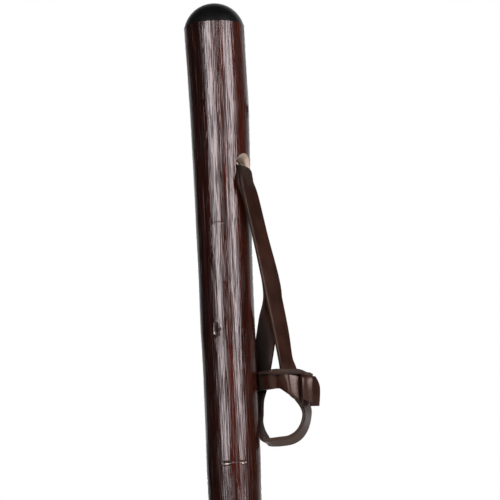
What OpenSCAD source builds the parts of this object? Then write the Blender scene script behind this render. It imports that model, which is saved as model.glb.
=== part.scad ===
// Hiking staff: a natural chestnut shaft with a black domed cap, a flat leather wrist strap
// held in a countersunk cross hole, and a spiked steel ferrule under a rubber tip.
// Millimetres. +Z runs up the staff from the ground, and the strap hangs on the +X side.

/* [Staff] */
// height from the ground to the top of the dome
staff_h = 1220; // [1000:10:1500]
// shaft diameter under the cap
top_d = 30; // [26:0.5:38]
// sideways bow of the shaft at half height
bow = 3; // [0:0.5:6]
// size of the shaft's smaller sways
sway = 1; // [0:0.1:2]
// rise of the shaft at each bud ring
ring_rise = 0.15; // [0:0.05:0.5]
// run of a bud ring's swelling, each way
ring_run = 11; // [8:1:18]

/* [Cap] */
// height of the domed cap
cap_h = 12; // [9:0.5:14]
// diameter of the dowel that fixes the cap
dowel_d = 8; // [6:0.5:10]
// length of that dowel
dowel_h = 32; // [24:1:40]

/* [Strap hole] */
// distance of the hole below the top of the dome
hole_drop = 86; // [70:1:140]
// bearing of the hole round the shaft, from +X
hole_bearing = -36; // [-60:1:0]
// diameter of the bore
bore_d = 9; // [8:0.5:11]
// diameter of the countersink at the surface
mouth_d = 13.5; // [12:0.5:16]
// depth of the bore below the surface
bore_depth = 21; // [18:0.5:25]
// depth of the peg's outer end below the surface
peg_sink = 6; // [5:0.5:9]

/* [Wrist strap] */
// width of the leather
strap_w = 10; // [8:0.5:12]
// thickness of the leather
strap_t = 1.6; // [1.2:0.1:2]
// drop from the hole to the foot of the ring
loop_drop = 139; // [120:1:170]
// reach of the ring out from the shaft's side
loop_reach = 23; // [20:0.5:28]
// spread of the strap from front to back
loop_spread = 10; // [9:0.5:13]

/* [Foot] */
// outside diameter of the ferrule
ferrule_d = 22; // [20:0.5:26]
// length of the ferrule
ferrule_h = 40; // [32:1:50]
// wall of the ferrule
ferrule_wall = 1; // [0.8:0.1:1.5]
// diameter of the ferrule's pins
pin_d = 1.8; // [1.4:0.1:2.4]
// length of the ferrule's pins
pin_h = 7; // [5:0.5:9]
// diameter of the spike's screw shank
shank_d = 5; // [4:0.5:6]
// length of the screw shank
shank_h = 26; // [20:1:32]
// length of the spike below the ferrule
spike_h = 9; // [7:0.5:10]
// diameter of the spike's collar
collar_d = 10; // [8:0.5:12]
// height of the rubber tip
tip_h = 46; // [40:1:56]
// diameter of the rubber tip at the ground
tip_d = 34; // [30:0.5:42]
// rubber under the washer
tip_floor = 12; // [9:0.5:15]
// thickness of the washer
washer_t = 1.5; // [1:0.1:2]
// room between the spike's point and the washer
spike_gap = 3; // [2:0.5:5]

/* [Fits] */
// gap all round a part in its bore
fit = 0.05; // [0.03:0.01:0.08]
// gap between leather and what it lies beside
lie_gap = 0.3; // [0.2:0.05:0.5]
// overrun of a cut past the surface
overrun = 2; // [1:0.5:3]

/* [Hidden] */
$fn = 96;

top_r = top_d / 2;
foot_r = ferrule_d / 2;
bore_r = bore_d / 2;
mouth_r = mouth_d / 2;
cap_z = staff_h - cap_h;
hole_z = staff_h - hole_drop;
ferrule_z = tip_floor + washer_t + spike_gap + spike_h;
shoulder_z = ferrule_z + ferrule_h;
tenon_r = foot_r - ferrule_wall - fit;
// a sphere through the cap's rim and the top of the dome
dome_r = (top_r * top_r + cap_h * cap_h) / (2 * cap_h);

// shaft: how full it is between foot and top, at shares of its height
fullness_shares = [[0, 0], [0.47, 0.35], [0.79, 0.54], [0.87, 0.59], [0.91, 0.66], [0.96, 0.92], [1, 1]];
// shaft: its sways to the right at shares of its height, and to the back at the same shares from the top
sway_shares = [[0, 0], [0.08, -0.4], [0.17, 0.3], [0.28, -0.6], [0.4, 0.4], [0.5, -0.5], [0.6, 0.3],
    [0.7, -0.4], [0.79, -0.4], [0.82, 0], [0.87, 0], [0.91, 0.35], [0.96, 0.9], [1, 0]];
// shaft: bud rings, at shares of its height
ring_shares = [0.07, 0.16, 0.25, 0.34, 0.44, 0.53, 0.63, 0.72, 0.805, 0.867, 0.912];
shaft_sides = 24;
shaft_steps = 84;

function share_at(z) = (z - shoulder_z) / (cap_z - shoulder_z);
function swell(z, i = 0) = i == len(ring_shares) ? 0 :
    let (d = (z - shoulder_z - ring_shares[i] * (cap_z - shoulder_z)) / ring_run)
    exp(-d * d) + swell(z, i + 1);
function shaft_r(z) = let (s = share_at(z))
    foot_r + (top_r - foot_r) * lookup(s, fullness_shares) + ring_rise * swell(z);
function shaft_at(z) = let (s = share_at(z))
    [bow * sin(180 * s) * (1 - s) + sway * lookup(s, sway_shares), sway * lookup(1 - s, sway_shares), z];

// joins rings of points into one closed skin of triangles
function skin_faces(n, m, closed = false) = concat(
    [for (i = [0:(closed ? n - 1 : n - 2)], j = [0:m - 1], k = [0, 1])
        let (a = i * m + j, b = i * m + (j + 1) % m, c = ((i + 1) % n) * m + (j + 1) % m,
            d = ((i + 1) % n) * m + j)
        k == 0 ? [a, c, b] : [a, d, c]],
    closed ? [] : [for (j = [1:m - 2]) [0, j, j + 1]],
    closed ? [] : [for (j = [1:m - 2]) let (o = (n - 1) * m) [o, o + j + 1, o + j]]);

module skin(rings, closed = false)
    polyhedron([for (r = rings) each r], skin_faces(len(rings), len(rings[0]), closed));

// strap: a leather ribbon through stations [point, width direction, width, thickness]
function unit(v) = v / norm(v);
function curve(a, b, c, d, t) =
    (2 * b + (c - a) * t + (2 * a - 5 * b + 4 * c - d) * t * t + (3 * b - a - 3 * c + d) * t * t * t) / 2;
function pick(list, i, closed) = closed ? list[(i + len(list)) % len(list)]
    : list[max(0, min(len(list) - 1, i))];
function smooth(list, steps, closed = false) = [
    for (i = [0:(closed ? len(list) - 1 : len(list) - 2)], k = [0:steps - 1])
        [for (q = [0:3]) curve(pick(list, i - 1, closed)[q], pick(list, i, closed)[q],
            pick(list, i + 1, closed)[q], pick(list, i + 2, closed)[q], k / steps)],
    if (!closed) list[len(list) - 1]];
function section(list, i, closed = false) = let (s = list[i],
    along = unit(pick(list, i + 1, closed)[0] - pick(list, i - 1, closed)[0]),
    across = unit(s[1] - (s[1] * along) * along), face = cross(along, across))
    [for (c = [[-1, -1], [1, -1], [1, 1], [-1, 1]])
        s[0] + across * c[0] * s[2] / 2 + face * c[1] * s[3] / 2];

// strap: directions out of the hole and along its rim
out_dir = [cos(hole_bearing), sin(hole_bearing), 0];
rim_dir = [-sin(hole_bearing), cos(hole_bearing), 0];
up_dir = [0, 0, 1];
mouth_at = shaft_at(hole_z) + out_dir * shaft_r(hole_z);
layer_pitch = strap_t + lie_gap;
tail_w_share = 0.8;
tail_w = bore_d * tail_w_share;
peg_web = strap_w / 4;
tail_h = bore_depth - peg_web - lie_gap;

// strap: the bend over the lip, as shares of the mouth's radius [out, along the rim, up],
// then the lie of the layers in degrees and the width as a share of the full width
bend_shares = [
    [-0.5, 0, -0.1, 86, 0.6], [-0.22, -0.04, -0.19, 72, 0.66], [0.1, -0.16, -0.46, 48, 0.75],
    [0.23, -0.33, -0.86, 25, 0.92], [0.31, -0.38, -1.4, 8, 1]];
// strap: the legs and the ring, as shares of reach, spread and drop,
// then the bearing and the tilt of the width in degrees
loop_shares = [
    [-0.035, -1.13, 0.122, 46, 0], [0.15, -0.85, 0.268, 44, 0], [0.32, -0.65, 0.413, 40, 0],
    [0.5, -0.35, 0.592, 42, 0], [0.59, -0.15, 0.7, 49, 0], [0.65, 0, 0.744, 38, 0],
    [0.76, 0.05, 0.8, 44, 0], [0.87, 0.05, 0.838, 52, 0], [0.98, 0.05, 0.876, 62, 0],
    [0.995, 0.05, 0.905, 70, 0], [0.955, 0.03, 0.935, 73, -6], [0.88, 0, 0.96, 75, -9],
    [0.775, 0, 0.979, 77, -11], [0.62, 0, 0.992, 79, -11], [0.44, 0, 0.996, 79, -11],
    [0.2, -0.12, 0.998, 78, -8], [0.076, -0.1, 0.994, 69, -4], [0.064, 0.04, 0.97, 70, 0],
    [0.036, 0.18, 0.944, 84, 0], [0.006, 0.4, 0.917, 98, 0], [-0.014, 0.54, 0.88, 106, 0],
    [-0.018, 0.64, 0.847, 112, 0], [0, 0.7, 0.821, 118, 0], [0.052, 0.74, 0.777, 128, 0],
    [0.085, 0.72, 0.74, 134, 0], [0.094, 0.7, 0.695, 160, 0], [0.16, 0.5, 0.635, 177, 0],
    [0.255, 0.17, 0.553, 190, 0], [0.365, -0.22, 0.453, 208, 0], [0.15, -0.5, 0.259, 225, 0],
    [-0.05, -0.85, 0.122, 229, 0]];
// hitch: its turn round both legs, in the same shares, then the lean in degrees,
// the layers of leather and the width as a share of the full width
turn_shares = [
    [0.92, -0.66, 0.815, 12, 1.1, 1.5], [0.69, -0.74, 0.783, 16, 1.3, 1.06],
    [0.42, -0.7, 0.775, 18, 1.4, 0.96], [0.2, -0.5, 0.775, 16, 1.3, 0.95],
    [0.05, -0.1, 0.775, 10, 1.1, 0.95], [-0.026, 0.45, 0.772, 4, 1, 0.95],
    [-0.113, 0.85, 0.768, 0, 1, 1], [-0.192, 1.17, 0.762, 0, 1, 1], [-0.08, 1.43, 0.758, 0, 1, 1],
    [0.19, 1.22, 0.756, 0, 1, 1], [0.41, 0.98, 0.756, 0, 1, 1], [0.67, 0.78, 0.765, 0, 1, 1],
    [0.92, 0.68, 0.785, 0, 1, 0.9], [1.065, 0.42, 0.803, 0, 1, 0.7], [1.08, -0.03, 0.818, 2, 1, 0.75],
    [1.02, -0.42, 0.83, 6, 1, 1.25]];
// hitch: the end that comes over the top and hangs down in front, in the same shares,
// then the bearing of its width and the width as a share
tuck_shares = [
    [1.02, -0.45, 0.785, 40, 0.72], [1.015, -0.6, 0.779, 40, 0.78], [1.045, -0.85, 0.776, 42, 0.95],
    [1.06, -1, 0.806, 42, 1], [1.05, -1, 0.836, 42, 1], [1.03, -0.97, 0.862, 42, 1]];
loop_steps = 4;

function route(p) = let (z = hole_z - p[2] * loop_drop)
    [shaft_at(z)[0] + shaft_r(z) + strap_t / 2 + lie_gap + p[0] * loop_reach,
        shaft_at(z)[1] + p[1] * loop_spread, z];
function bearing(a, tilt = 0) = [cos(a) * cos(tilt), sin(a) * cos(tilt), sin(tilt)];
function bent(p, side) = mouth_at + mouth_r * (out_dir * p[0] + rim_dir * p[1] + up_dir * p[2])
    + side * layer_pitch / 2 * (out_dir * cos(p[3]) + up_dir * sin(p[3]));
function tail(depth, side) = mouth_at - out_dir * depth + up_dir * side * layer_pitch / 2;
function backward(list) = [for (i = [len(list) - 1:-1:0]) list[i]];

front_ends = concat([for (d = [tail_h, peg_sink]) [tail(d, 1), rim_dir, tail_w, strap_t]],
    [for (p = bend_shares) [bent(p, 1), rim_dir, strap_w * p[4], strap_t]]);
back_ends = backward(concat([for (d = [tail_h, peg_sink]) [tail(d, -1), -rim_dir, tail_w, strap_t]],
    [for (p = bend_shares) [bent(p, -1), -rim_dir, strap_w * p[4], strap_t]]));
thong = smooth(concat(front_ends, [for (p = loop_shares) [route(p), bearing(p[3], p[4]), strap_w, strap_t]],
    back_ends), loop_steps);
thong_rings = [for (i = [0:len(thong) - 1]) section(thong, i)];
// the strap's stations where the tails, the bends and the loop meet
tail_end = loop_steps;
bend_end = loop_steps * 6;
last = len(thong) - 1;
hitch_turn = smooth([for (p = turn_shares)
    [route(p), [0, -sin(p[3]), cos(p[3])], strap_w * p[5], strap_t * p[4]]], loop_steps, true);
hitch_tuck = smooth([for (p = tuck_shares)
    [route(p), bearing(p[3]), strap_w * p[4], strap_t]], loop_steps);

function thong_length(i = 0) = i == last ? 0 : norm(thong[i + 1][0] - thong[i][0]) + thong_length(i + 1);
echo(strap_length = thong_length());

module thong_part(a, b) skin([for (i = [a:b]) thong_rings[i]]);

module at_hole() translate(mouth_at) rotate([0, 90, hole_bearing]) children();

module shaft() color("#3a1c12") difference() {
    union() {
        skin([for (i = [0:shaft_steps]) let (z = shoulder_z + (cap_z - shoulder_z) * i / shaft_steps)
            [for (k = [0:shaft_sides - 1])
                shaft_at(z) + shaft_r(z) * bearing(360 * k / shaft_sides)]]);
        translate([0, 0, ferrule_z + ferrule_wall + fit])
            cylinder(r = tenon_r, h = ferrule_h - ferrule_wall - fit + overrun);
    }
    translate([0, 0, cap_z - dowel_h + dowel_cap_h - lie_gap])
        cylinder(r = dowel_d / 2 + fit, h = dowel_h);
    at_hole() {
        translate([0, 0, -bore_depth]) cylinder(r = bore_r, h = bore_depth + overrun);
        translate([0, 0, bore_r - mouth_r])
            cylinder(r1 = bore_r, r2 = mouth_r + overrun, h = mouth_r - bore_r + overrun);
    }
    translate([0, 0, ferrule_z]) cylinder(r = shank_d / 2 + fit, h = shank_h + lie_gap);
    ferrule_pin_places() cylinder(r = pin_d / 2 + fit, h = pin_h + lie_gap);
}

dowel_cap_share = 0.25;
dowel_cap_h = dowel_h * dowel_cap_share;

module top_cap() color("#0a0a0b") difference() {
    intersection() {
        translate([0, 0, staff_h - dome_r]) sphere(r = dome_r);
        translate([0, 0, cap_z]) cylinder(r = top_r + overrun, h = cap_h + overrun);
    }
    translate([0, 0, cap_z - overrun]) cylinder(r = dowel_d / 2 + fit, h = dowel_cap_h + overrun);
}

module cap_dowel() color("#c9a878")
    translate([0, 0, cap_z - dowel_h + dowel_cap_h]) cylinder(r = dowel_d / 2, h = dowel_h);

module strap_peg() color("#c9a878") at_hole() difference() {
    translate([0, 0, -bore_depth]) cylinder(r = bore_r - fit, h = bore_depth - peg_sink);
    translate([-layer_pitch, -bore_r, peg_web - bore_depth])
        cube([2 * layer_pitch, bore_d, bore_depth]);
}

module strap_tails() color("#3a2620") {
    thong_part(0, tail_end);
    thong_part(last - tail_end, last);
}

module strap_bend() color("#3a2620") {
    thong_part(tail_end, bend_end);
    thong_part(last - bend_end, last - tail_end);
}

module strap_loop() color("#3a2620") thong_part(bend_end, last - bend_end);

module strap_hitch() color("#3a2620") union() {
    skin([for (i = [0:len(hitch_turn) - 1]) section(hitch_turn, i, true)], true);
    skin([for (i = [0:len(hitch_tuck) - 1]) section(hitch_tuck, i)]);
}

module ferrule() color("#b9bcc0") difference() {
    translate([0, 0, ferrule_z]) cylinder(r = foot_r, h = ferrule_h);
    translate([0, 0, ferrule_z + ferrule_wall]) cylinder(r = foot_r - ferrule_wall, h = ferrule_h);
    translate([0, 0, ferrule_z - overrun]) cylinder(r = shank_d / 2 + fit, h = ferrule_wall + 2 * overrun);
    ferrule_pin_places() cylinder(r = pin_d / 2 + fit, h = pin_h);
}

// the pins stand halfway between the rubber tip and the shoulder, one on each side, heads outward
module ferrule_pin_places() for (a = [90, 270])
    rotate([0, 0, a]) translate([foot_r + fit, 0, (tip_h + shoulder_z) / 2])
        rotate([0, -90, 0]) children();

module ferrule_pins() color("#b08d4a") ferrule_pin_places() union() {
    cylinder(r = pin_d / 2, h = pin_h);
    intersection() {
        translate([0, 0, pin_d]) sphere(r = pin_d + pin_d / 2);
        translate([0, 0, -pin_d]) cylinder(r = pin_d, h = pin_d);
    }
}

collar_share = 0.3;
spike_shares = [[0.08, 0], [0.36, 0.36], [0.36, 0.7]];
module spike() color("#8d9094") translate([0, 0, ferrule_z - spike_h]) union() {
    rotate_extrude() polygon(concat([[0, 0]],
        [for (p = spike_shares) [p[0] * collar_d, p[1] * spike_h]],
        [[collar_d / 2, spike_h * (1 - collar_share)], [collar_d / 2, spike_h], [0, spike_h]]));
    cylinder(r = shank_d / 2, h = spike_h + shank_h);
}

// rubber tip: its outline as shares of radius and height, from the ground up
tip_shares = [[0.93, 0], [1, 0.04], [1, 0.13], [0.92, 0.19], [0.83, 0.26], [0.81, 0.34], [0.79, 0.62],
    [0.82, 0.64], [0.82, 0.69], [0.785, 0.71], [0.78, 0.78], [0.81, 0.80], [0.81, 0.85], [0.77, 0.87],
    [0.765, 0.98], [0.75, 1]];
tread_shares = [[0.36, 0.46], [0.64, 0.74]];
tread_depth_share = 0.05;
washer_r = collar_d / 2 + washer_t;
module rubber_tip() color("#141415") difference() {
    rotate_extrude() polygon(concat([[0, 0]],
        [for (p = tip_shares) [p[0] * tip_d / 2, p[1] * tip_h]], [[0, tip_h]]));
    translate([0, 0, ferrule_z]) cylinder(r = foot_r + fit, h = tip_h);
    translate([0, 0, tip_floor]) cylinder(r = washer_r + fit, h = tip_h);
    for (p = tread_shares) translate([0, 0, -overrun]) difference() {
        cylinder(r = p[1] * tip_d / 2, h = overrun + tread_depth_share * tip_h);
        cylinder(r = p[0] * tip_d / 2, h = tip_h);
    }
}

module tip_washer() color("#9a9da1") translate([0, 0, tip_floor]) cylinder(r = washer_r, h = washer_t);

shaft();
top_cap();
cap_dowel();
strap_peg();
strap_tails();
strap_bend();
strap_loop();
strap_hitch();
ferrule();
ferrule_pins();
spike();
rubber_tip();
tip_washer();
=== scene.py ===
import math

import bmesh
import bpy
from mathutils import Matrix, Quaternion, Vector, noise


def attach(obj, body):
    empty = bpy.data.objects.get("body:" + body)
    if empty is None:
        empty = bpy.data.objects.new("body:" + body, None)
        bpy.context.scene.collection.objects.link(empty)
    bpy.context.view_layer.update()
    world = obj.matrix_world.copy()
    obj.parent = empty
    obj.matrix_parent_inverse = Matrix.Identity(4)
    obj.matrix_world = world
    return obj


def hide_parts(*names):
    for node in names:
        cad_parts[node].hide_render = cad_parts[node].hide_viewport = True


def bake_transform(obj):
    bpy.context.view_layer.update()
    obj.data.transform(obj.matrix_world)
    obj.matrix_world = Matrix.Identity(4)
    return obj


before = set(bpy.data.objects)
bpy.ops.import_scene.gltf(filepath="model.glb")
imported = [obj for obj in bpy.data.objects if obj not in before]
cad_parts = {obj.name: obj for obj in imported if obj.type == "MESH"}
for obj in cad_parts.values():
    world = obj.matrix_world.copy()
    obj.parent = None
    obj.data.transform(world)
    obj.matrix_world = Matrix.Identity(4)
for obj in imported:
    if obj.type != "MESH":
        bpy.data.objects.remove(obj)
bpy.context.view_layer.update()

# Lengths are millimetres in the CAD frame; a finished piece is scaled to metres.
MM = 0.001

# ---------------------------------------------------------------- measures

# play between parts that fit, and room at the blind ends of their holes
FIT = 0.05
END_ROOM = 0.3
# a corner that turns by more than this stays sharp in the shading
SHARP = math.radians(40)

# shaft and cap; the ferrule's floor and top are where the tenon and the full shaft start
STAFF_H = 1220
TOP_R = 15
FOOT_R = 11
FERRULE_Z = 25.5
SHOULDER_Z = 65.5
CAP_Z = 1208
BOW = 3
SWAY = 1
RING_RISE = 0.15
RING_RUN = 11
VARNISH = 0.2
DOME_R = 15.375
DOWEL_R = 4 + FIT
DOWEL_FOOT = 1184
DOWEL_TOP = 1216

# the strap's hole: from a depth on its bore is painted dark as shade, and its countersink leans down at the rim
HOLE_Z = 1134
HOLE_BEARING = math.radians(-36)
BORE_R = 4.5
BORE_DEPTH = 21
BORE_SHADE_FROM = 5.4
MOUTH_R = 6.75
MOUTH_DROP = 0.8

# strap: its section, the gap between its layers, its pinched ends in the bore, and the size of its loop
STRAP_W = 10
STRAP_T = 1.6
EDGE_ROUND = 0.42
LIE_GAP = 0.3
LAYER_PITCH = STRAP_T + LIE_GAP
TAIL_W = 7.2
TAIL_DEPTHS = (18.2, 6)
LOOP_DROP = 139
LOOP_REACH = 23
LOOP_SPREAD = 10

# foot: ferrule, spike with its screw shank, and rubber tip with the well for the washer
FERRULE_WALL = 1
SHANK_R = 2.5
SHANK_H = 26
SPIKE_H = 9
TIP_R = 17
TIP_H = 46
TIP_FLOOR = 12
WELL_R = 6.5
TREAD_DEPTH = 2.3
CORNER = 0.3
TIP_CORNER = 0.35

# the shaft's fullness between foot and top, and its sways, at shares of its height
FULLNESS = [(0, 0), (0.47, 0.35), (0.79, 0.54), (0.87, 0.59), (0.91, 0.66), (0.96, 0.92), (1, 1)]
SWAYS = [(0, 0), (0.08, -0.4), (0.17, 0.3), (0.28, -0.6), (0.4, 0.4), (0.5, -0.5), (0.6, 0.3),
         (0.7, -0.4), (0.79, -0.4), (0.82, 0), (0.87, 0), (0.91, 0.35), (0.96, 0.9), (1, 0)]
BUD_RINGS = [0.07, 0.16, 0.25, 0.34, 0.44, 0.53, 0.63, 0.72, 0.805, 0.867, 0.912]

# the strap's bend over the lip: shares of the mouth's radius (out, along the rim, up), lie, width share
BEND = [(-0.5, 0, -0.1, 86, 0.6), (-0.22, -0.04, -0.19, 72, 0.66), (0.1, -0.16, -0.46, 48, 0.75),
        (0.23, -0.33, -0.86, 25, 0.92), (0.31, -0.38, -1.4, 8, 1)]
# its legs and ring: shares of reach, spread and drop, then the bearing of the width and its tilt, if any
LOOP = [(-0.035, -1.13, 0.122, 46), (0.15, -0.85, 0.268, 44), (0.32, -0.65, 0.413, 40),
        (0.5, -0.35, 0.592, 42), (0.59, -0.15, 0.7, 49), (0.65, 0, 0.744, 38), (0.76, 0.05, 0.8, 44),
        (0.87, 0.05, 0.838, 52), (0.98, 0.05, 0.876, 62), (0.995, 0.05, 0.905, 70),
        (0.955, 0.03, 0.935, 73, -6), (0.88, 0, 0.96, 75, -9), (0.775, 0, 0.979, 77, -11),
        (0.62, 0, 0.992, 79, -11), (0.44, 0, 0.996, 79, -11), (0.2, -0.12, 0.998, 78, -8),
        (0.076, -0.1, 0.994, 69, -4), (0.064, 0.04, 0.97, 70), (0.036, 0.18, 0.944, 84),
        (0.006, 0.4, 0.917, 98), (-0.014, 0.54, 0.88, 106), (-0.018, 0.64, 0.847, 112),
        (0, 0.7, 0.821, 118), (0.052, 0.74, 0.777, 128), (0.085, 0.72, 0.74, 134),
        (0.094, 0.7, 0.695, 160), (0.16, 0.5, 0.635, 177), (0.255, 0.17, 0.553, 190),
        (0.365, -0.22, 0.453, 208), (0.15, -0.5, 0.259, 225), (-0.05, -0.85, 0.122, 229)]
# the hitch's turn round both legs, in the same shares, then its lean, its layers of leather and its width
# share
TURN = [(0.926, -0.656, 0.819, 6, 1.1, 1.76), (0.89, -0.735, 0.815, 4, 1.2, 1.72),
        (0.852, -0.845, 0.812, 0, 1.2, 1.66), (0.778, -0.914, 0.805, -1, 1.3, 1.54),
        (0.704, -0.974, 0.8, -1, 1.3, 1.42), (0.641, -1.013, 0.795, 1, 1.3, 1.31),
        (0.588, -0.973, 0.79, 7, 1.3, 1.2), (0.536, -0.902, 0.785, 12, 1.3, 1.1),
        (0.483, -0.812, 0.78, 15, 1.3, 1.01), (0.425, -0.692, 0.776, 16, 1.3, 0.96),
        (0.374, -0.641, 0.775, 16, 1.2, 0.95), (0.3, -0.682, 0.776, 16, 1.2, 0.95),
        (0.2, -0.542, 0.776, 16, 1.2, 0.95), (0.05, -0.1, 0.775, 10, 1.1, 0.95),
        (-0.026, 0.45, 0.772, 4, 1, 0.95), (-0.113, 0.85, 0.768, 0, 1, 1),
        (-0.192, 1.17, 0.762, 0, 1, 1), (-0.08, 1.43, 0.758, 0, 1, 1), (0.19, 1.22, 0.756, 0, 1, 1),
        (0.41, 0.98, 0.756, 0, 1, 1), (0.67, 0.78, 0.765, 0, 1, 1), (0.92, 0.68, 0.785, 0, 1, 0.9),
        (1.065, 0.42, 0.803, 0, 1, 0.7), (1.08, -0.03, 0.818, 2, 1, 0.75),
        (1.02, -0.42, 0.83, 6, 1, 1.25)]
# the raw edge folded along the top of the turn, in the same columns
FOLD = [(-0.004, -0.499, 0.752, 20, 0.5, 0.09), (0.069, -0.659, 0.754, 20, 0.5, 0.1),
        (0.22, -0.88, 0.757, 20, 0.6, 0.13), (0.349, -0.99, 0.757, 18, 0.75, 0.22),
        (0.479, -1.05, 0.756, 12, 0.8, 0.29), (0.651, -1.12, 0.758, 6, 0.8, 0.28),
        (0.802, -1.12, 0.759, 4, 0.8, 0.28), (0.909, -1.13, 0.762, 4, 0.8, 0.24),
        (1.015, -1.211, 0.77, 4, 0.7, 0.19), (1.15, -1.082, 0.776, 4, 0.6, 0.17)]
# the hitch's end, over the top and down in front, then its width share, the bearing of its width and its
# tilt
TUCK = [(1.005, -0.861, 0.768, 0.52, 12, 0), (1.025, -1.051, 0.773, 0.55, 12, 0),
        (1.038, -1.153, 0.789, 0.58, 12, -6), (1.033, -1.166, 0.821, 0.58, 12, -16),
        (1.028, -1.09, 0.868, 0.6, 14, -28)]
# the half of that end that is creased back to the right, in the same columns
SIDE = [(1.152, -0.682, 0.777, 0.34, 45, 0), (1.181, -0.793, 0.794, 0.48, 45, 0),
        (1.197, -0.835, 0.813, 0.58, 45, -4), (1.191, -0.838, 0.844, 0.58, 45, -4),
        (1.169, -0.778, 0.883, 0.56, 45, 6)]


def lookup(share, table):
    """The table's value at a share, straight between its rows."""
    for (s0, v0), (s1, v1) in zip(table, table[1:]):
        if share <= s1:
            return v0 + (v1 - v0) * max(0, (share - s0) / (s1 - s0))
    return table[-1][1]


def share_at(z):
    """A height as a share of the way from the ferrule to the cap."""
    return (z - SHOULDER_Z) / (CAP_Z - SHOULDER_Z)


def ring_z(share):
    """The height at a share of the way from the ferrule to the cap."""
    return SHOULDER_Z + share * (CAP_Z - SHOULDER_Z)


def shaft_r(z):
    """The shaft's radius at a height, with its swells at the bud rings."""
    swell = sum(math.exp(-((z - ring_z(s)) / RING_RUN) ** 2) for s in BUD_RINGS)
    return FOOT_R + (TOP_R - FOOT_R) * lookup(share_at(z), FULLNESS) + RING_RISE * swell


def shaft_at(z):
    """The middle of the bowed and swaying shaft at a height."""
    s = share_at(z)
    bow = BOW * math.sin(math.pi * s) * (1 - s)
    return Vector((bow + SWAY * lookup(s, SWAYS), SWAY * lookup(1 - s, SWAYS), z))


OUT = Vector((math.cos(HOLE_BEARING), math.sin(HOLE_BEARING), 0))
RIM = Vector((-OUT.y, OUT.x, 0))
UP = Vector((0, 0, 1))
MOUTH_AT = shaft_at(HOLE_Z) + OUT * shaft_r(HOLE_Z)

# ---------------------------------------------------------------- materials


def linear(code):
    """An sRGB hex colour as the linear colour that a shader takes."""
    parts = [int(code[i:i + 2], 16) / 255 for i in (1, 3, 5)]
    return (*[c / 12.92 if c <= 0.04045 else ((c + 0.055) / 1.055) ** 2.4 for c in parts], 1)


def add(tree, kind, inputs=None, **settings):
    """Adds a node with its settings, then its values and links. A Mix node takes its factor at 0, numbers
    at 2 and 3 and colours at 6 and 7, and gives the mixed colour at output 2."""
    node = tree.nodes.new(kind)
    for key, value in settings.items():
        setattr(node, key, value)
    for key, value in (inputs or {}).items():
        if isinstance(value, bpy.types.NodeSocket):
            tree.links.new(value, node.inputs[key])
        else:
            node.inputs[key].default_value = value
    return node


def new_material(name, **values):
    """A material with its shader: uniform values go straight onto the shader's own sockets."""
    material = bpy.data.materials.new(name)
    material.use_nodes = True
    tree = material.node_tree
    shader = tree.nodes["Principled BSDF"]
    for key, value in values.items():
        shader.inputs[key.replace("_", " ")].default_value = value
    place = add(tree, "ShaderNodeTexCoord").outputs["Object"]
    return material, tree, shader, place


def wire(tree, shader, **sockets):
    """Links outputs to the shader's own sockets."""
    for key, socket in sockets.items():
        tree.links.new(socket, shader.inputs[key.replace("_", " ")])


def per_m(across, along=None):
    """A pattern's scale from its real size in millimetres, across and along the staff."""
    return (1 / (across * MM), 1 / (across * MM), 1 / ((along or across) * MM))


# the chestnut's grain: width and length in mm, where its pattern starts, and its noise detail. Real pores are
# 0.3 mm wide, drawn at 0.5 mm so that they show
GRAIN = {"broad": (5, 140, (0, 0, 0), 3), "red": (1.7, 80, (3, 7, 1), 2), "thin": (0.8, 45, (9, 2, 5), 2),
         "pores": (0.5, 20, (4, 8, 3), 2)}
# how deep each shows in the varnish, in mm
GRAIN_RELIEF = (("pores", 0.1), ("thin", 0.11), ("red", 0.12))


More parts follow.
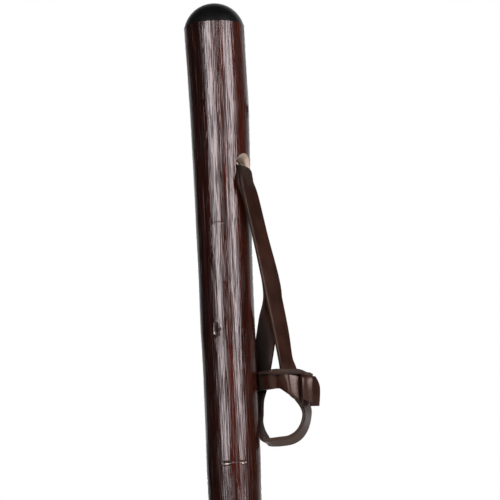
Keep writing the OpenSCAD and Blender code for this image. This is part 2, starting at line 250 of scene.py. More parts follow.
def stained_chestnut():
    """Peeled chestnut, stained dark and varnished: streaks of brown and red along the grain under
    a clear gloss film, which shows the lights as long bands broken by the open pores."""
    material, tree, shader, place = new_material("stained_chestnut_varnished", IOR=1.5,
                                                 Specular_Tint=(1, 0.92, 0.935, 1))
    grain = {}
    for layer, (across, along, start, detail) in GRAIN.items():
        at = add(tree, "ShaderNodeMapping", {"Vector": place, "Scale": per_m(across, along),
                                             "Location": start})
        grain[layer] = add(tree, "ShaderNodeTexNoise", {"Vector": at.outputs[0], "Scale": 1,
                                                        "Detail": detail}).outputs[0]
    # painted shade: the wood is painted darker and more even on the -X side, with fainter red streaks, as in
    # shade
    place_x = add(tree, "ShaderNodeSeparateXYZ", {"Vector": place}).outputs["X"]
    side = add(tree, "ShaderNodeMapRange", {"Value": place_x, "From Min": -11 * MM, "From Max": 4 * MM},
               interpolation_type="SMOOTHSTEP").outputs[0]
    stain_and_side_shade = add(tree, "ShaderNodeMix", {0: side, 6: linear("#1e0c0a"), 7: linear("#42190d")},
                data_type="RGBA")
    shade = add(tree, "ShaderNodeMapRange", {"Value": grain["broad"], "From Min": 0.35, "From Max": 0.62,
                                             "To Min": 0.7, "To Max": 0})
    dark = add(tree, "ShaderNodeMix", {0: shade.outputs[0], 6: stain_and_side_shade.outputs[2], 7: linear("#1c0c0a")},
               data_type="RGBA")
    side_shaded_redness = add(tree, "ShaderNodeMapRange", {"Value": side, "To Min": 0.15, "To Max": 0.4})
    streak = add(tree, "ShaderNodeMapRange", {"Value": grain["red"], "From Min": 0.52, "From Max": 0.7,
                                              "To Max": side_shaded_redness.outputs[0]})
    warm = add(tree, "ShaderNodeMix", {0: streak.outputs[0], 6: dark.outputs[2], 7: linear("#66241a")},
               data_type="RGBA")
    thread = add(tree, "ShaderNodeMapRange", {"Value": grain["thin"], "From Min": 0.66, "From Max": 0.76,
                                              "To Max": 0.5})
    pale = add(tree, "ShaderNodeMix", {0: thread.outputs[0], 6: warm.outputs[2], 7: linear("#9c7358")},
               data_type="RGBA")
    pore = add(tree, "ShaderNodeMapRange", {"Value": grain["pores"], "From Min": 0.5,
                                            "From Max": 0.62}).outputs[0]
    filled = add(tree, "ShaderNodeMath", {0: pore, 1: 0.7}, operation="MULTIPLY")
    open_grain = add(tree, "ShaderNodeMix", {0: filled.outputs[0], 6: pale.outputs[2],
                                             7: linear("#140907")}, data_type="RGBA")
    # the mesh's own marks: scars above 0 are dark, below 0 a painted glint in pale bare-wood colour
    scar_and_glint = add(tree, "ShaderNodeAttribute", attribute_name="scar_and_glint").outputs["Fac"]
    marked = add(tree, "ShaderNodeMix", {0: scar_and_glint, 6: open_grain.outputs[2], 7: linear("#0c0605")},
                 data_type="RGBA")
    painted_glint = add(tree, "ShaderNodeMapRange", {"Value": scar_and_glint, "From Min": 0, "From Max": -1})
    colour = add(tree, "ShaderNodeMix", {0: painted_glint.outputs[0], 6: marked.outputs[2], 7: linear("#dccbb8")},
                 data_type="RGBA")
    film = add(tree, "ShaderNodeMapRange", {"Value": grain["broad"], "From Min": 0.35, "From Max": 0.65,
                                            "To Min": 0.07, "To Max": 0.14})
    broken = add(tree, "ShaderNodeMix", {0: pore, 2: film.outputs[0], 3: 0.45})
    gloss = add(tree, "ShaderNodeMix", {0: scar_and_glint, 2: broken.outputs[0], 3: 0.9})
    normal = None
    for layer, depth in GRAIN_RELIEF:
        ridges = add(tree, "ShaderNodeBump", {"Height": grain[layer], "Strength": 1, "Distance": depth * MM})
        if normal:
            tree.links.new(normal, ridges.inputs["Normal"])
        normal = ridges.outputs[0]
    wire(tree, shader, Base_Color=colour.outputs[2], Roughness=gloss.outputs[0], Normal=normal)
    return material


def black_lacquer():
    """Wood under brushed black lacquer: a near-black satin film, with the brush's faint waves."""
    material, tree, shader, place = new_material("black_lacquer_brushed", IOR=1.5)
    waves = add(tree, "ShaderNodeTexNoise", {"Vector": place, "Scale": 1 / (6 * MM), "Detail": 3})
    colour = add(tree, "ShaderNodeMix", {0: waves.outputs[0], 6: linear("#060505"), 7: linear("#0f0d0d")},
                 data_type="RGBA")
    rough = add(tree, "ShaderNodeMapRange", {"Value": waves.outputs[0], "To Min": 0.3, "To Max": 0.45})
    bump = add(tree, "ShaderNodeBump", {"Height": waves.outputs[0], "Strength": 0.5, "Distance": 0.2 * MM})
    wire(tree, shader, Base_Color=colour.outputs[2], Roughness=rough.outputs[0], Normal=bump.outputs[0])
    return material


def bare_chestnut(name, dark, light, pore):
    """Chestnut as the drill leaves it: matt, with darker open pores along the grain. Pale, it is the cut wood;
    a dark copy is painted shade deep in the bore."""
    material, tree, shader, place = new_material(name, Roughness=0.75)
    # real pores are 0.3 mm wide, drawn at 0.5 mm here too
    grain_at = add(tree, "ShaderNodeMapping", {"Vector": place, "Scale": per_m(1.1, 9)})
    grain = add(tree, "ShaderNodeTexNoise", {"Vector": grain_at.outputs[0], "Scale": 1, "Detail": 4})
    pores_at = add(tree, "ShaderNodeMapping", {"Vector": place, "Scale": per_m(0.5, 3)})
    pores = add(tree, "ShaderNodeTexNoise", {"Vector": pores_at.outputs[0], "Scale": 1, "Detail": 2})
    tone = add(tree, "ShaderNodeMix", {0: grain.outputs[0], 6: linear(dark), 7: linear(light)},
               data_type="RGBA")
    opened = add(tree, "ShaderNodeMapRange", {"Value": pores.outputs[0], "From Min": 0.6, "From Max": 0.75,
                                              "To Max": 0.5})
    colour = add(tree, "ShaderNodeMix", {0: opened.outputs[0], 6: tone.outputs[2], 7: linear(pore)},
                 data_type="RGBA")
    bump = add(tree, "ShaderNodeBump", {"Height": pores.outputs[0], "Strength": 0.6, "Distance": 0.2 * MM})
    wire(tree, shader, Base_Color=colour.outputs[2], Normal=bump.outputs[0])
    return material


def brown_leather(name, dark, light, lit_to, roughness, pebble_depth):
    """Dyed cowhide: dark brown with cloudy dye, a fine pebble and a soft waxed sheen, with painted shade where
    it lies by the stained wood and painted light on the ring. The cut edge is more open than the face."""
    material, tree, shader, place = new_material(
        name, IOR=1.5, Specular_Tint=(1, 0.8, 0.73, 1), Sheen_Weight=0.04, Sheen_Roughness=0.4,
        Sheen_Tint=linear("#c8a090"))
    cloud = add(tree, "ShaderNodeTexNoise", {"Vector": place, "Scale": 1 / (9 * MM), "Detail": 4})
    pebble = add(tree, "ShaderNodeTexVoronoi", {"Vector": place, "Scale": 1 / (0.6 * MM)},
                 feature="SMOOTH_F1")
    fibre = add(tree, "ShaderNodeTexNoise", {"Vector": place, "Scale": 1 / (0.8 * MM), "Detail": 3})
    dye = add(tree, "ShaderNodeMapRange", {"Value": cloud.outputs[0], "From Min": 0.35, "From Max": 0.65})
    dyed = add(tree, "ShaderNodeMix", {0: dye.outputs[0], 6: linear(dark), 7: linear(light)},
               data_type="RGBA")
    nap = add(tree, "ShaderNodeMapRange", {"Value": fibre.outputs[0], "From Min": 0.55, "From Max": 0.8,
                                           "To Max": 0.25})
    napped = add(tree, "ShaderNodeMix", {0: nap.outputs[0], 6: dyed.outputs[2], 7: linear("#4a3026")},
                 data_type="RGBA")
    # the mesh's own marks: above 0 painted shade by the wood, below 0 painted light on the ring; both are matt
    painted_shading = add(tree, "ShaderNodeAttribute", attribute_name="painted_shading").outputs["Fac"]
    painted_shade = add(tree, "ShaderNodeMix", {0: painted_shading, 6: napped.outputs[2], 7: linear("#100806")},
                 data_type="RGBA")
    painted_light_share = add(tree, "ShaderNodeMapRange", {"Value": painted_shading, "From Min": 0, "From Max": -1})
    painted_light = add(tree, "ShaderNodeMix", {0: painted_light_share.outputs[0], 6: painted_shade.outputs[2], 7: linear(lit_to)},
               data_type="RGBA")
    waxed = add(tree, "ShaderNodeMapRange", {"Value": cloud.outputs[0], "To Min": roughness - 0.08,
                                             "To Max": roughness + 0.1})
    marked = add(tree, "ShaderNodeMath", {0: painted_shading}, operation="ABSOLUTE")
    matt = add(tree, "ShaderNodeMix", {0: marked.outputs[0], 2: waxed.outputs[0], 3: 0.85})
    grain = add(tree, "ShaderNodeBump", {"Height": pebble.outputs["Distance"], "Strength": 0.3,
                                         "Distance": pebble_depth * MM})
    bump = add(tree, "ShaderNodeBump", {"Height": fibre.outputs[0], "Strength": 0.3, "Distance": 0.06 * MM,
                                        "Normal": grain.outputs[0]})
    wire(tree, shader, Base_Color=painted_light.outputs[2], Roughness=matt.outputs[0], Normal=bump.outputs[0])
    return material


def turned_metal(name, dull, bright, roughness):
    """Metal off the lathe: fine rings round the axis that stretch its reflections, with cloudier spots."""
    material, tree, shader, place = new_material(name, Metallic=1)
    # real rings are about 0.15 mm apart, drawn at 0.35 mm so that they show
    rings_at = add(tree, "ShaderNodeMapping", {"Vector": place, "Scale": per_m(60, 0.35)})
    rings = add(tree, "ShaderNodeTexNoise", {"Vector": rings_at.outputs[0], "Scale": 1, "Detail": 2})
    cloud = add(tree, "ShaderNodeTexNoise", {"Vector": place, "Scale": 1 / (5 * MM), "Detail": 4})
    colour = add(tree, "ShaderNodeMix", {0: cloud.outputs[0], 6: linear(dull), 7: linear(bright)},
                 data_type="RGBA")
    rough = add(tree, "ShaderNodeMapRange", {"Value": cloud.outputs[0], "To Min": roughness - 0.08,
                                             "To Max": roughness + 0.12})
    bump = add(tree, "ShaderNodeBump", {"Height": rings.outputs[0], "Strength": 0.35, "Distance": 0.1 * MM})
    wire(tree, shader, Base_Color=colour.outputs[2], Roughness=rough.outputs[0], Normal=bump.outputs[0])
    return material


def moulded_rubber():
    """Moulded black rubber: matt and a little dusty, with the mould's fine spark texture."""
    material, tree, shader, place = new_material("black_rubber_moulded", IOR=1.5)
    # a mould's spark texture is about 0.2 mm, drawn at 0.5 mm so that it shows
    dust = add(tree, "ShaderNodeTexNoise", {"Vector": place, "Scale": 1 / (9 * MM), "Detail": 5})
    spark = add(tree, "ShaderNodeTexNoise", {"Vector": place, "Scale": 1 / (0.5 * MM), "Detail": 2})
    dusty = add(tree, "ShaderNodeMapRange", {"Value": dust.outputs[0], "From Min": 0.4, "From Max": 0.75})
    colour = add(tree, "ShaderNodeMix", {0: dusty.outputs[0], 6: linear("#131314"), 7: linear("#2b2927")},
                 data_type="RGBA")
    rough = add(tree, "ShaderNodeMapRange", {"Value": dust.outputs[0], "To Min": 0.55, "To Max": 0.8})
    bump = add(tree, "ShaderNodeBump", {"Height": spark.outputs[0], "Strength": 0.4, "Distance": 0.1 * MM})
    wire(tree, shader, Base_Color=colour.outputs[2], Roughness=rough.outputs[0], Normal=bump.outputs[0])
    return material


CHESTNUT = stained_chestnut()
LACQUER = black_lacquer()
BARE_WOOD = bare_chestnut("bare_chestnut_cut", "#c6aa95", "#f0dfcc", "#7d6049")
# a dark copy of the bare wood: painted shade deep in the bore
BORE_SHADE_WOOD = bare_chestnut("bare_chestnut_painted_bore_shade", "#3a261a", "#5c4230", "#23160e")
LEATHER = brown_leather("brown_leather_waxed", "#28130c", "#371c13", "#5c3c22", 0.32, 0.05)
LEATHER_EDGE = brown_leather("brown_leather_cut_edge", "#20110a", "#311d12", "#4a3222", 0.6, 0.1)
ZINC = turned_metal("zinc_plated_steel_turned", "#a4a7ab", "#c6c8ca", 0.32)
BRASS = turned_metal("brass_polished", "#a5823f", "#cdae6c", 0.25)
RUBBER = moulded_rubber()

# ---------------------------------------------------------------- making pieces


def make_piece(name, bm, materials, body, slot, nodes):
    """Ends a bmesh: to metres, normals outward, smooth but for sharp corners, and onto its body."""
    bmesh.ops.recalc_face_normals(bm, faces=bm.faces)
    bmesh.ops.scale(bm, vec=(MM, MM, MM), verts=bm.verts)
    mesh = bpy.data.meshes.new(name)
    bm.to_mesh(mesh)
    bm.free()
    mesh.shade_smooth()
    mesh.set_sharp_from_angle(angle=SHARP)
    for material in materials:
        mesh.materials.append(material)
    piece = bpy.data.objects.new(name, mesh)
    bpy.context.scene.collection.objects.link(piece)
    if body:
        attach(piece, body)
    if slot:
        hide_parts(*nodes)
    return piece


def turned(profile, steps=96, place=None):
    """A closed solid of revolution about Z from a profile of (radius, height) points."""
    bm = bmesh.new()
    points = [bm.verts.new((r, 0, z)) for r, z in profile]
    edges = [bm.edges.new(pair) for pair in zip(points, points[1:])]
    bmesh.ops.spin(bm, geom=points + edges, cent=(0, 0, 0), axis=(0, 0, 1), angle=2 * math.pi,
                   steps=steps, use_merge=True)
    bmesh.ops.remove_doubles(bm, verts=bm.verts, dist=0.0005)
    bmesh.ops.recalc_face_normals(bm, faces=bm.faces)
    if place:
        bmesh.ops.transform(bm, matrix=place, verts=bm.verts)
    return bm


def round_corners(bm, size, segments=3, angle=25):
    """Rounds every edge where the surface turns by more than the angle."""
    corners = [e for e in bm.edges
               if len(e.link_faces) == 2 and e.calc_face_angle() > math.radians(angle)]
    bmesh.ops.bevel(bm, geom=corners, offset=size, offset_type="OFFSET", segments=segments, profile=0.5,
                    affect="EDGES", clamp_overlap=True, material=-1)
    return bm


def joined(parts):
    """Several bmeshes as one."""
    whole = bmesh.new()
    for bm in parts:
        mesh = bpy.data.meshes.new("part")
        bm.to_mesh(mesh)
        bm.free()
        whole.from_mesh(mesh)
        bpy.data.meshes.remove(mesh)
    return whole


def cut(piece, cutters, materials):
    """Takes closed cutters out of a piece for good; the cut faces get the cutters' materials."""
    tool = make_piece("cutter", joined(cutters), materials, None, None, ())
    boolean = piece.modifiers.new("cut", "BOOLEAN")
    boolean.operation = "DIFFERENCE"
    boolean.object = tool
    boolean.solver = "MANIFOLD"
    boolean.material_mode = "TRANSFER"
    depsgraph = bpy.context.evaluated_depsgraph_get()
    mesh = bpy.data.meshes.new_from_object(piece.evaluated_get(depsgraph), depsgraph=depsgraph)
    piece.modifiers.clear()
    old = piece.data
    piece.data = mesh
    bpy.data.meshes.remove(old)
    tool_mesh = tool.data
    bpy.data.objects.remove(tool)
    bpy.data.meshes.remove(tool_mesh)
    mesh.set_sharp_from_angle(angle=SHARP)


# ---------------------------------------------------------------- shaft

SHAFT_SIDES = 208
# rows of its mesh, as start, step and count: coarse below the camera's view, close in it, finer at the marks
COARSE_ROWS = (SHOULDER_Z, 6.4, 139)
CLOSE_ROWS = (955, 1, 254)
MARK_ROWS = ((982, 0.25, 18), (1046.4, 0.25, 18), (1103, 0.25, 18))
# relief of the peeled wood: height, width and length in mm, and where its noise starts
RELIEF = [(0.13, 9, 34, 0, 0), (0.04, 2.6, 36, 40, 0), (0.018, 1.2, 16, 0, 70)]
# cracks along the bud rings: height, from and to bearing (degrees from the front), depth
CRACKS = [(984.1, -22, 0, 0.28), (984.3, 7, 27, 0.15), (1105, -30, 4, 0.07)]
LOW_RINGS = BUD_RINGS[:8]
CRACKS += [(ring_z(share), 40 + 70 * i, 130 + 70 * i, 0.25) for i, share in enumerate(LOW_RINGS)]
# bud scars and nicks: height, bearing, half height, half width, depth
SCARS = [(1051.6, -25, 2.4, 1.1, 0.45), (1058, -27.5, 4, 0.3, 0.12), (1106, -26, 1.7, 0.5, 0.12),
         (1163.8, 68, 2, 0.9, 0.5), (874, 120, 4, 2, 0.6), (743, -75, 4, 2, 0.6),
         (612, 15, 4, 2.2, 0.6), (478, -140, 4, 2, 0.6), (330, 60, 4, 1.8, 0.5),
         (205, -50, 3.5, 1.8, 0.5)]
# painted glints: pale spots beside them where the lips catch the light: height, bearing, half height, half
# width
PAINTED_GLINTS = [(983.4, -15, 0.35, 1.3), (983.6, 20, 0.3, 0.5), (1049.4, -30, 0.6, 0.3)]


def window(value, low, high, soft):
    """1 between low and high, falling smoothly to 0 over the soft margins."""
    rise = min(1, max(0, (value - low) / soft + 0.5))
    fall = min(1, max(0, (high - value) / soft + 0.5))
    return (rise * rise * (3 - 2 * rise)) * (fall * fall * (3 - 2 * fall))


def peeled_surface(point, bearing):
    """How far the peeled wood stands off the round, and its mark: up to 1 where it is scarred dark, -1 in a
    painted glint.
    """
    x, y, z = point
    off = sum(rise * noise.noise((x / across + from_x, y / across + from_y, z / along))
              for rise, across, along, from_x, from_y in RELIEF)
    scar_and_glint = 0
    for crack_z, low, high, depth in CRACKS:
        if abs(z - crack_z) < 6:
            # a ragged groove with a low lip under it
            lift = z - crack_z - 0.5 * noise.noise((bearing / 9, crack_z, 0))
            across = window(bearing, low, high, 8) * (0.75 + 0.5 * noise.noise((bearing / 5, crack_z, 3)))
            groove = math.exp(-(lift / 0.32) ** 2) * across
            off += depth * (0.15 * math.exp(-((lift + 0.9) / 0.5) ** 2) * across - groove)
            scar_and_glint = max(scar_and_glint, min(1, 3 * groove * depth))
    for scar_z, scar_bearing, half_h, half_w, depth in SCARS:
        if abs(z - scar_z) < 3 * half_h:
            # a pit with a raised, uneven rim
            turn = (bearing - scar_bearing + 180) % 360 - 180
            reach = math.hypot((z - scar_z) / half_h, math.radians(turn) * TOP_R / half_w)
            reach *= 1 + 0.5 * noise.noise((x / 1.1, y / 1.1, z / 1.6))
            off += depth * (0.5 * math.exp(-((reach - 1.5) / 0.4) ** 2) - math.exp(-reach ** 4))
            scar_and_glint = max(scar_and_glint, math.exp(-(reach / 1.05) ** 6))
    # painted glints: a pale mark below 0
    for glint_z, glint_bearing, half_h, half_w in PAINTED_GLINTS:
        if abs(z - glint_z) < 3 * half_h:
            scar_and_glint -= math.exp(-math.hypot((z - glint_z) / half_h,
                                         math.radians(bearing - glint_bearing) * TOP_R / half_w) ** 4)
    return off, scar_and_glint


def shaft_heights():
    """The heights of the rows of the shaft's mesh."""
    heights = {start + step * i for start, step, count in (COARSE_ROWS, CLOSE_ROWS, *MARK_ROWS)
               for i in range(count)}
    for share in LOW_RINGS:
        heights |= {ring_z(share) + lift for lift in (-1.2, 0, 1.2)}
    return sorted(z for z in heights if SHOULDER_Z <= z <= CAP_Z)


def make_shaft():
    """The bowed pole with its tenon, its marks and the holes for strap, dowel and spike."""
    tenon_r = FOOT_R - FERRULE_WALL - FIT
    tenon_z = FERRULE_Z + FERRULE_WALL + FIT
    rings = [(Vector((0, 0, tenon_z)), tenon_r), (Vector((0, 0, SHOULDER_Z)), tenon_r)]
    rings += [(shaft_at(z), shaft_r(z)) for z in shaft_heights()]
    last = len(rings) - 1
    bm = bmesh.new()
    scar_and_glint_layer = bm.verts.layers.float.new("scar_and_glint")
    # a flat grid, rolled up: its columns are bearings from the front, its rows the rings
    bmesh.ops.create_grid(bm, x_segments=SHAFT_SIDES, y_segments=last, size=1)
    for v in bm.verts:
        turn = math.pi * v.co.x
        centre, radius = rings[round((v.co.y + 1) / 2 * last)]
        away = Vector((math.sin(turn), -math.cos(turn), 0))
        v.co = centre + away * radius
        if centre.z > SHOULDER_Z + 0.01:
            off, v[scar_and_glint_layer] = peeled_surface(v.co, math.degrees(turn))
            v.co += away * (VARNISH + off * window(centre.z, SHOULDER_Z + 4, CAP_Z - 1.5, 3))
    bmesh.ops.remove_doubles(bm, verts=bm.verts, dist=0.0005)
    bmesh.ops.holes_fill(bm, edges=[e for e in bm.edges if e.is_boundary], sides=0)
    shaft = make_piece("shaft_wood", bm, [CHESTNUT, BARE_WOOD, BORE_SHADE_WOOD], "staff", "stained_wood",
                       ["shaft"])
    # the cutter for the strap's hole stands 2 mm out of the wood
    hole = turned([(0, -BORE_DEPTH), (BORE_R, -BORE_DEPTH), (BORE_R, -BORE_SHADE_FROM),
                   (BORE_R, BORE_R - MOUTH_R), (MOUTH_R + 2, 2), (0, 2)], 64,
                  Matrix.Translation(MOUTH_AT) @ Matrix((RIM, UP, OUT)).transposed().to_4x4())
    for v in hole.verts:
        if (v.co - MOUTH_AT).dot(OUT) > 0:
            v.co -= UP * MOUTH_DROP
    # faces deeper in the bore than that start take the dark wood, painted shade
    for f in hole.faces:
        f.material_index = 1 if (f.calc_center_median() - MOUTH_AT).dot(OUT) < -BORE_SHADE_FROM else 0
    dowel_foot, dowel_end = DOWEL_FOOT - END_ROOM, DOWEL_TOP - END_ROOM
    dowel = turned([(0, dowel_foot), (DOWEL_R, dowel_foot), (DOWEL_R, dowel_end), (0, dowel_end)], 32)
    shank_r, shank_end = SHANK_R + FIT, FERRULE_Z + SHANK_H + END_ROOM
    shank = turned([(0, FERRULE_Z), (shank_r, FERRULE_Z), (shank_r, shank_end), (0, shank_end)], 24)
    cut(shaft, [hole, dowel, shank], [BARE_WOOD, BORE_SHADE_WOOD])


make_shaft()

# ---------------------------------------------------------------- cap

DOME_STEPS = 28
arc_from = math.asin((CAP_Z - STAFF_H + DOME_R) / DOME_R)
dome = [(DOME_R * math.cos(a), STAFF_H - DOME_R + DOME_R * math.sin(a))
        for a in (arc_from + (math.pi / 2 - arc_from) * i / DOME_STEPS for i in range(DOME_STEPS))]
cap = turned([(0, DOWEL_TOP), (DOWEL_R, DOWEL_TOP), (DOWEL_R, CAP_Z)] + dome + [(0, STAFF_H)])
make_piece("cap_dome", cap, [LACQUER], "staff", "black_lacquer", ["top_cap"])

# ---------------------------------------------------------------- strap


def route(p):
    """A table row's place beside the shaft, from its shares of the loop's reach, spread and drop."""
    z = HOLE_Z - p[2] * LOOP_DROP
    at = shaft_at(z)
    lie = shaft_r(z) + STRAP_T / 2 + LIE_GAP
    return Vector((at.x + lie + p[0] * LOOP_REACH, at.y + p[1] * LOOP_SPREAD, z))


def bearing_dir(degrees, tilt=0):
    """The direction at a bearing from +X, tilted up from the level."""
    a, t = math.radians(degrees), math.radians(tilt)
    return Vector((math.cos(a) * math.cos(t), math.sin(a) * math.cos(t), math.sin(t)))


def bent(p, side):
    """A row of the bend over the lip, on the upper or lower of its two layers."""
    lie = math.radians(p[3])
    return (MOUTH_AT + MOUTH_R * (OUT * p[0] + RIM * p[1] + UP * p[2])
            + side * LAYER_PITCH / 2 * (OUT * math.cos(lie) + UP * math.sin(lie)))


def leg_end(side):
    """One end of the strap, from the peg in the bore to the lip, as stations: point, width direction, width
    and thickness."""
    tails = [MOUTH_AT - OUT * depth + UP * side * LAYER_PITCH / 2 for depth in TAIL_DEPTHS]
    return ([(p, RIM * side, TAIL_W, STRAP_T) for p in tails]
            + [(bent(p, side), RIM * side, STRAP_W * p[4], STRAP_T) for p in BEND])


def smoothed(stations, steps, closed=False):
    """Stations along a smooth curve through the given ones."""
    n = len(stations)
    result = []
    for i in range(n if closed else n - 1):
        a, b, c, d = [stations[j % n if closed else min(max(j, 0), n - 1)] for j in range(i - 1, i + 3)]
        for k in range(steps):
            t = k / steps
            result.append([(2 * b[q] + (c[q] - a[q]) * t + (2 * a[q] - 5 * b[q] + 4 * c[q] - d[q]) * t * t
                            + (3 * b[q] - a[q] - 3 * c[q] + d[q]) * t ** 3) / 2 for q in range(4)])
    return result if closed else result + [list(stations[-1])]


def strip_section(bm, crown):
    """The edges of a leather strip's section: rounded corners and crowned faces."""
    bmesh.ops.create_grid(bm, x_segments=1, y_segments=1, size=0.5,
                          matrix=Matrix.Diagonal((STRAP_W, STRAP_T, 1, 1)))
    bmesh.ops.bevel(bm, geom=bm.verts[:], offset=EDGE_ROUND, offset_type="OFFSET", segments=3,
                    profile=0.5, affect="VERTICES", material=-1)
    bmesh.ops.delete(bm, geom=bm.faces[:], context="FACES_ONLY")
    long_edges = [e for e in bm.edges if e.calc_length() > STRAP_W / 2]
    bmesh.ops.subdivide_edges(bm, edges=long_edges, cuts=9)
    for v in bm.verts:
        v.co.y += math.copysign(crown, v.co.y) * (1 - (2 * v.co.x / STRAP_W) ** 2)
    return bm.verts[:], bm.edges[:]


def station_matrix(stations, i, closed, upright):
    """Places the strip's section at a station, sized and turned; an upright one keeps its width's direction."""
    n = len(stations)
    before = stations[(i - 1) % n if closed else max(i - 1, 0)][0]
    after = stations[(i + 1) % n if closed else min(i + 1, n - 1)][0]
    at, side, width, thick = stations[i]
    along = (after - before).normalized()
    across = side if upright else (side - along * side.dot(along)).normalized()
    face = along.cross(across).normalized()
    turn = Matrix((across * width / STRAP_W, face * thick / STRAP_T, along)).transposed()
    return Matrix.Translation(at) @ turn.to_4x4()


# painted shade and light on the leather: how dark the painted shade is near the wood, within a reach that grows
# towards the rear leg, and how pale the painted light on the ring is, below a height and clear of the wood
WOOD_SHADE = 0.95
WOOD_SHADE_REACH = 3.2
WOOD_SHADE_REACH_REAR = 0.8
RING_LIT = 0.4
RING_TOP = 999
FAR = 99


def painted_shading_at(point):
    """The leather's painted mark at a point: above 0 painted shade, below 0 painted light."""
    at = shaft_at(point.z)
    gap = math.hypot(point.x - at.x, point.y - at.y) - shaft_r(point.z)
    reach = WOOD_SHADE_REACH + WOOD_SHADE_REACH_REAR * min(6, max(0, point.y + 2))
    # painted light on the ring, away from the wood
    pale = RING_LIT * window(point.z, 0, RING_TOP, 10) * window(gap, 3, FAR, 4)
    return WOOD_SHADE * window(gap, -FAR, reach, 5) - pale


def leather_strip(stations, closed=False, upright=False, crown=0.07, edge_from=STRAP_W / 2 - 0.3):
    """A strip of leather along its stations, square to its run or upright; its cut edges take the second
    material."""
    bm = bmesh.new()
    painted_shading = bm.verts.layers.float.new("painted_shading")
    ring, edges = strip_section(bm, crown)
    first = edges
    at = Matrix.Identity(4)
    for i in range(len(stations)):
        if i:
            grown = bmesh.ops.extrude_edge_only(bm, edges=edges)["geom"]
            ring = [g for g in grown if isinstance(g, bmesh.types.BMVert)]
            edges = [g for g in grown if isinstance(g, bmesh.types.BMEdge)]
        to = station_matrix(stations, i, closed, upright)
        bmesh.ops.transform(bm, matrix=to @ at.inverted(), verts=ring)
        at = to
        if i:
            back = to.inverted()
            for f in [g for g in grown if isinstance(g, bmesh.types.BMFace)]:
                rim = sum((back @ v.co for v in f.verts if v in ring), Vector()) / 2
                f.material_index = 1 if abs(rim.x) > edge_from else 0
    if closed:
        bmesh.ops.bridge_loops(bm, edges=first + edges)
    else:
        for loop in (first, edges):
            for f in bmesh.ops.contextual_create(bm, geom=loop)["faces"]:
                f.material_index = 1
    # each vertex carries the painted shade near the wood and the painted light on the ring
    for v in bm.verts:
        v[painted_shading] = painted_shading_at(v.co)
    return bm


legs = [(route(p), bearing_dir(*p[3:]), STRAP_W, STRAP_T) for p in LOOP]
strap_stations = smoothed(leg_end(1) + legs + leg_end(-1)[::-1], 10)
strap = make_piece("strap_thong", leather_strip(strap_stations), [LEATHER, LEATHER_EDGE], None,
                   "brown_leather", ["strap_tails", "strap_bend", "strap_loop"])
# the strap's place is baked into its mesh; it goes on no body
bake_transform(strap)

# ---------------------------------------------------------------- hitch


def standing(table):
    """Stations of a strip on edge: its width stands up and leans to the front."""
    leans = [math.radians(p[3]) for p in table]
    return [(route(p), Vector((0, -math.sin(lean), math.cos(lean))), STRAP_W * p[5], STRAP_T * p[4])
            for p, lean in zip(table, leans)]


def hanging(table):
    """Stations of a strip that hangs: its width lies along a bearing, tilted from the level."""
    return [(route(p), bearing_dir(*p[4:]), STRAP_W * p[3], STRAP_T) for p in table]


hitch = joined([leather_strip(smoothed(standing(TURN), 8, True), closed=True, upright=True, crown=0.2),
                leather_strip(smoothed(standing(FOLD), 8), crown=0.3, edge_from=-1),
                leather_strip(smoothed(hanging(SIDE), 8), upright=True, crown=0.15),
                leather_strip(smoothed(hanging(TUCK), 8), upright=True, crown=0.5)])
make_piece("strap_hitch_turn", hitch, [LEATHER, LEATHER_EDGE], "strap", "brown_leather",
           ["strap_hitch"])

# ---------------------------------------------------------------- foot

shank_hole = SHANK_R + FIT
ferrule_in = FOOT_R - FERRULE_WALL
ferrule_floor = FERRULE_Z + FERRULE_WALL
ferrule = turned([(shank_hole, FERRULE_Z), (FOOT_R, FERRULE_Z), (FOOT_R, SHOULDER_Z), (ferrule_in, SHOULDER_Z),
                  (ferrule_in, ferrule_floor), (shank_hole, ferrule_floor), (shank_hole, FERRULE_Z)])
make_piece("ferrule_tube", round_corners(ferrule, CORNER), [ZINC], "staff", "steel", ["ferrule"])

# the spike's point and collar: radius, share of its height
SPIKE_OUTLINE = [(0.8, 0), (3.6, 0.36), (3.6, 0.7), (5, 0.7), (5, 1)]
spike_foot = FERRULE_Z - SPIKE_H
spike = turned([(0, spike_foot)] + [(r, spike_foot + share * SPIKE_H) for r, share in SPIKE_OUTLINE]
               + [(SHANK_R, FERRULE_Z), (SHANK_R, FERRULE_Z + SHANK_H), (0, FERRULE_Z + SHANK_H)])
make_piece("spike_point", round_corners(spike, CORNER), [ZINC], "staff", "steel", ["spike"])

# the rubber tip's outside, in shares of its radius and height, and the tread's ring grooves in its ground face
TIP_OUTLINE = [(0.93, 0), (1, 0.04), (1, 0.13), (0.92, 0.19), (0.83, 0.26), (0.81, 0.34), (0.79, 0.62),
               (0.82, 0.64), (0.82, 0.69), (0.785, 0.71), (0.78, 0.78), (0.81, 0.80), (0.81, 0.85),
               (0.77, 0.87), (0.765, 0.98), (0.75, 1)]
TREAD_GROOVES = ((0.36, 0.46), (0.64, 0.74))
tread = [(share * TIP_R, z) for low, high in TREAD_GROOVES
         for share, z in ((low, 0), (low, TREAD_DEPTH), (high, TREAD_DEPTH), (high, 0))]
socket_r, well_r = FOOT_R + FIT, WELL_R + FIT
tip = turned([(0, 0)] + tread + [(r * TIP_R, z * TIP_H) for r, z in TIP_OUTLINE]
             + [(socket_r, TIP_H), (socket_r, FERRULE_Z), (well_r, FERRULE_Z), (well_r, TIP_FLOOR),
                (0, TIP_FLOOR)])
make_piece("tip_boot", round_corners(tip, TIP_CORNER), [RUBBER], "tip", "black_rubber", ["rubber_tip"])

# the small hidden parts are the CAD's own, with the scene's materials
for node, material in (("cap_dowel", BARE_WOOD), ("strap_peg", BARE_WOOD), ("ferrule_pins", BRASS),
                       ("tip_washer", ZINC)):
    for material_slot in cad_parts[node].material_slots:
        material_slot.material = material

# ---------------------------------------------------------------- studio

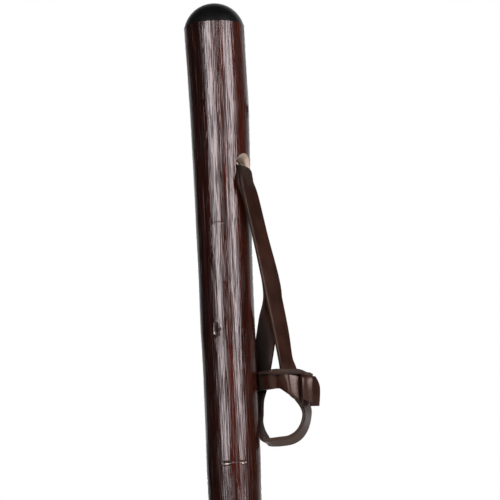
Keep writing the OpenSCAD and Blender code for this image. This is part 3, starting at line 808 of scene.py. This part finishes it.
# metres; the camera stands a little low and looks up at the grip
TARGET = Vector((0.013, 0, 1.093))
CAMERA_FAR = 3.0
CAMERA_RISE = math.radians(-11)
CAMERA_ROLL = math.radians(-2.6)
SENSOR = 36
LENS = 432

scene = bpy.context.scene
camera = bpy.data.objects.new("camera", bpy.data.cameras.new("camera"))
scene.collection.objects.link(camera)
camera.data.sensor_width = SENSOR
camera.data.lens = LENS
camera.data.clip_end = 100
back = Vector((0, -math.cos(CAMERA_RISE), math.sin(CAMERA_RISE)))
right = Vector((1, 0, 0))
camera.matrix_world = (Matrix.Translation(TARGET + back * CAMERA_FAR)
                       @ Matrix((right, back.cross(right), back)).transposed().to_4x4()
                       @ Matrix.Rotation(CAMERA_ROLL, 4, "Z"))
scene.camera = camera

# softboxes: bearing from the front, rise and roll in degrees, half length and half height in metres, radiance.
# Two stand in front, rolled a little, and one behind lights the back
LIGHT_FAR = 1.6
LIGHT_COLOUR = (1, 0.97, 0.985)
SOFTBOXES = [("softbox_left", -24.6, 14.7, 22.5, 0.55, 0.23, 13),
             ("softbox_right", 42.5, 14.7, 22.5, 0.55, 0.23, 13),
             ("softbox_rear", 180, 4, 0, 0.2, 0.5, 6)]
for name, bearing, rise, roll, half_l, half_h, radiance in SOFTBOXES:
    data = bpy.data.lights.new(name, "AREA")
    data.shape = "ELLIPSE"
    data.size = 2 * half_l
    data.size_y = 2 * half_h
    data.energy = radiance * math.pi * math.pi * half_l * half_h
    data.color = LIGHT_COLOUR
    lamp = bpy.data.objects.new(name, data)
    scene.collection.objects.link(lamp)
    b, r = math.radians(bearing), math.radians(rise)
    away = Vector((math.sin(b) * math.cos(r), -math.cos(b) * math.cos(r), math.sin(r)))
    lamp.location = TARGET + away * LIGHT_FAR
    rolled = Quaternion((0, 0, 1), math.radians(roll))
    lamp.rotation_euler = (away.to_track_quat("Z", "Y") @ rolled).to_euler()
    lamp.visible_camera = False

# the white wall is behind the staff: the camera sees white all round, the staff's gloss only at its rims, and
# matt surfaces get more light from it, as from a lit wall. It leans a little to +X
WALL_LEAN = 0.15
WALL_DARK = 0.02
WALL_BOOST = 1.2
world = bpy.data.worlds.new("white_room")
scene.world = world
world.use_nodes = True
tree = world.node_tree
look = add(tree, "ShaderNodeTexCoord").outputs["Generated"]
facing = add(tree, "ShaderNodeSeparateXYZ", {"Vector": look})
rear = add(tree, "ShaderNodeMath", {0: facing.outputs["X"], 1: WALL_LEAN, 2: facing.outputs["Y"]},
           operation="MULTIPLY_ADD")
wall = add(tree, "ShaderNodeMapRange", {"Value": rear.outputs[0], "From Min": 0.5, "From Max": 0.95,
                                        "To Min": WALL_DARK, "To Max": 1}, interpolation_type="SMOOTHSTEP")
path = add(tree, "ShaderNodeLightPath")
seen = add(tree, "ShaderNodeMath", {0: path.outputs["Is Camera Ray"], 1: path.outputs["Is Transmission Ray"]},
           operation="MAXIMUM")
bounce = add(tree, "ShaderNodeMath", {0: path.outputs["Is Diffuse Ray"], 1: WALL_BOOST, 2: 1},
             operation="MULTIPLY_ADD")
glow = add(tree, "ShaderNodeMath", {0: wall.outputs[0], 1: bounce.outputs[0]}, operation="MULTIPLY")
level = add(tree, "ShaderNodeMath", {0: seen.outputs[0], 1: glow.outputs[0]}, operation="MAXIMUM")
tree.links.new(level.outputs[0], tree.nodes["Background"].inputs["Strength"])
tree.nodes["Background"].inputs["Color"].default_value = (1, 1, 1, 1)

# the pale floor keeps the shadow, and is lifted towards white for the camera and in reflections
FLOOR_HALF = 30
FLOOR_LIFT = 0.55
FLOOR_GLOW = 1.05
floor_mesh = bpy.data.meshes.new("floor")
bm = bmesh.new()
bmesh.ops.create_grid(bm, x_segments=8, y_segments=8, size=FLOOR_HALF)
bm.to_mesh(floor_mesh)
bm.free()
floor = bpy.data.objects.new("floor", floor_mesh)
scene.collection.objects.link(floor)
floor_material, floor_tree, floor_shader, floor_place = new_material("pale_studio_floor", Roughness=0.8)
mottle = add(floor_tree, "ShaderNodeTexNoise", {"Vector": floor_place, "Scale": 3})
pale_floor = add(floor_tree, "ShaderNodeMix", {0: mottle.outputs[0], 6: linear("#e6e5e3"),
                                               7: linear("#ecebea")}, data_type="RGBA")
wire(floor_tree, floor_shader, Base_Color=pale_floor.outputs[2])
floor_path = add(floor_tree, "ShaderNodeLightPath")
floor_seen = add(floor_tree, "ShaderNodeMath", {0: floor_path.outputs["Is Camera Ray"],
                                                1: floor_path.outputs["Is Glossy Ray"]}, operation="MAXIMUM")
floor_lift = add(floor_tree, "ShaderNodeMath", {0: floor_seen.outputs[0], 1: FLOOR_LIFT}, operation="MULTIPLY")
floor_glow = add(floor_tree, "ShaderNodeEmission", {"Color": pale_floor.outputs[2], "Strength": FLOOR_GLOW})
floor_mix = add(floor_tree, "ShaderNodeMixShader", {0: floor_lift.outputs[0], 1: floor_shader.outputs[0],
                                                    2: floor_glow.outputs[0]})
# the floor has no underside, so it hides nothing from a camera below it
underside = add(floor_tree, "ShaderNodeNewGeometry").outputs["Backfacing"]
clear = add(floor_tree, "ShaderNodeBsdfTransparent")
one_sided = add(floor_tree, "ShaderNodeMixShader", {0: underside, 1: floor_mix.outputs[0],
                                                    2: clear.outputs[0]})
floor_tree.links.new(one_sided.outputs[0], floor_tree.nodes["Material Output"].inputs["Surface"])
floor_mesh.materials.append(floor_material)
# the boot stands on the floor, so the floor goes with it when the boot is pulled off
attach(floor, "tip")

scene.view_settings.view_transform = "Standard"
